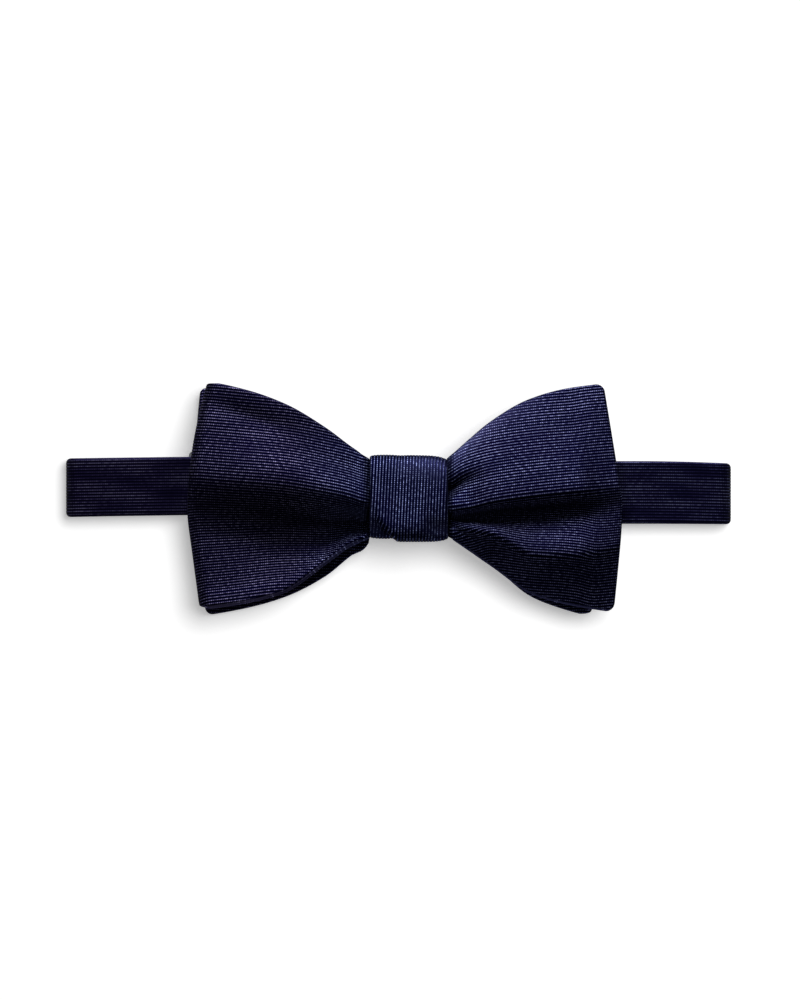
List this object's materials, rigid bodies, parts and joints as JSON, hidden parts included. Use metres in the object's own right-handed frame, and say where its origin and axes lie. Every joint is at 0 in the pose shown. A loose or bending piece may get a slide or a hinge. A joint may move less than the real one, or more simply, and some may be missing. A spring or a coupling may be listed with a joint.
{
  "type": "pre-tied bow tie",
  "caption": "Butterfly-shaped ribbed silk bow with a wrapped knot, on a fastened flat neck strap.",
  "frame": {"origin": "middle of the tie's outline, on the surface that it lies on", "axes": "+X to the right of the bow's front, +Y to the bow's top, +Z out of the bow's front"},
  "size_m": [0.186, 0.0649, 0.0201],
  "materials": {
    "bow_silk": "ribbed silk with a soft sheen",
    "strap_silk": "ribbed silk, pressed flat",
    "clasp_metal": "plain satin"
  },
  "bodies": {
    "root": {"front_bow": "bow_silk", "back_bow": "bow_silk", "knot_band": "bow_silk", "neck_strap": "strap_silk", "clasp": "clasp_metal"}
  },
  "joints": []
}
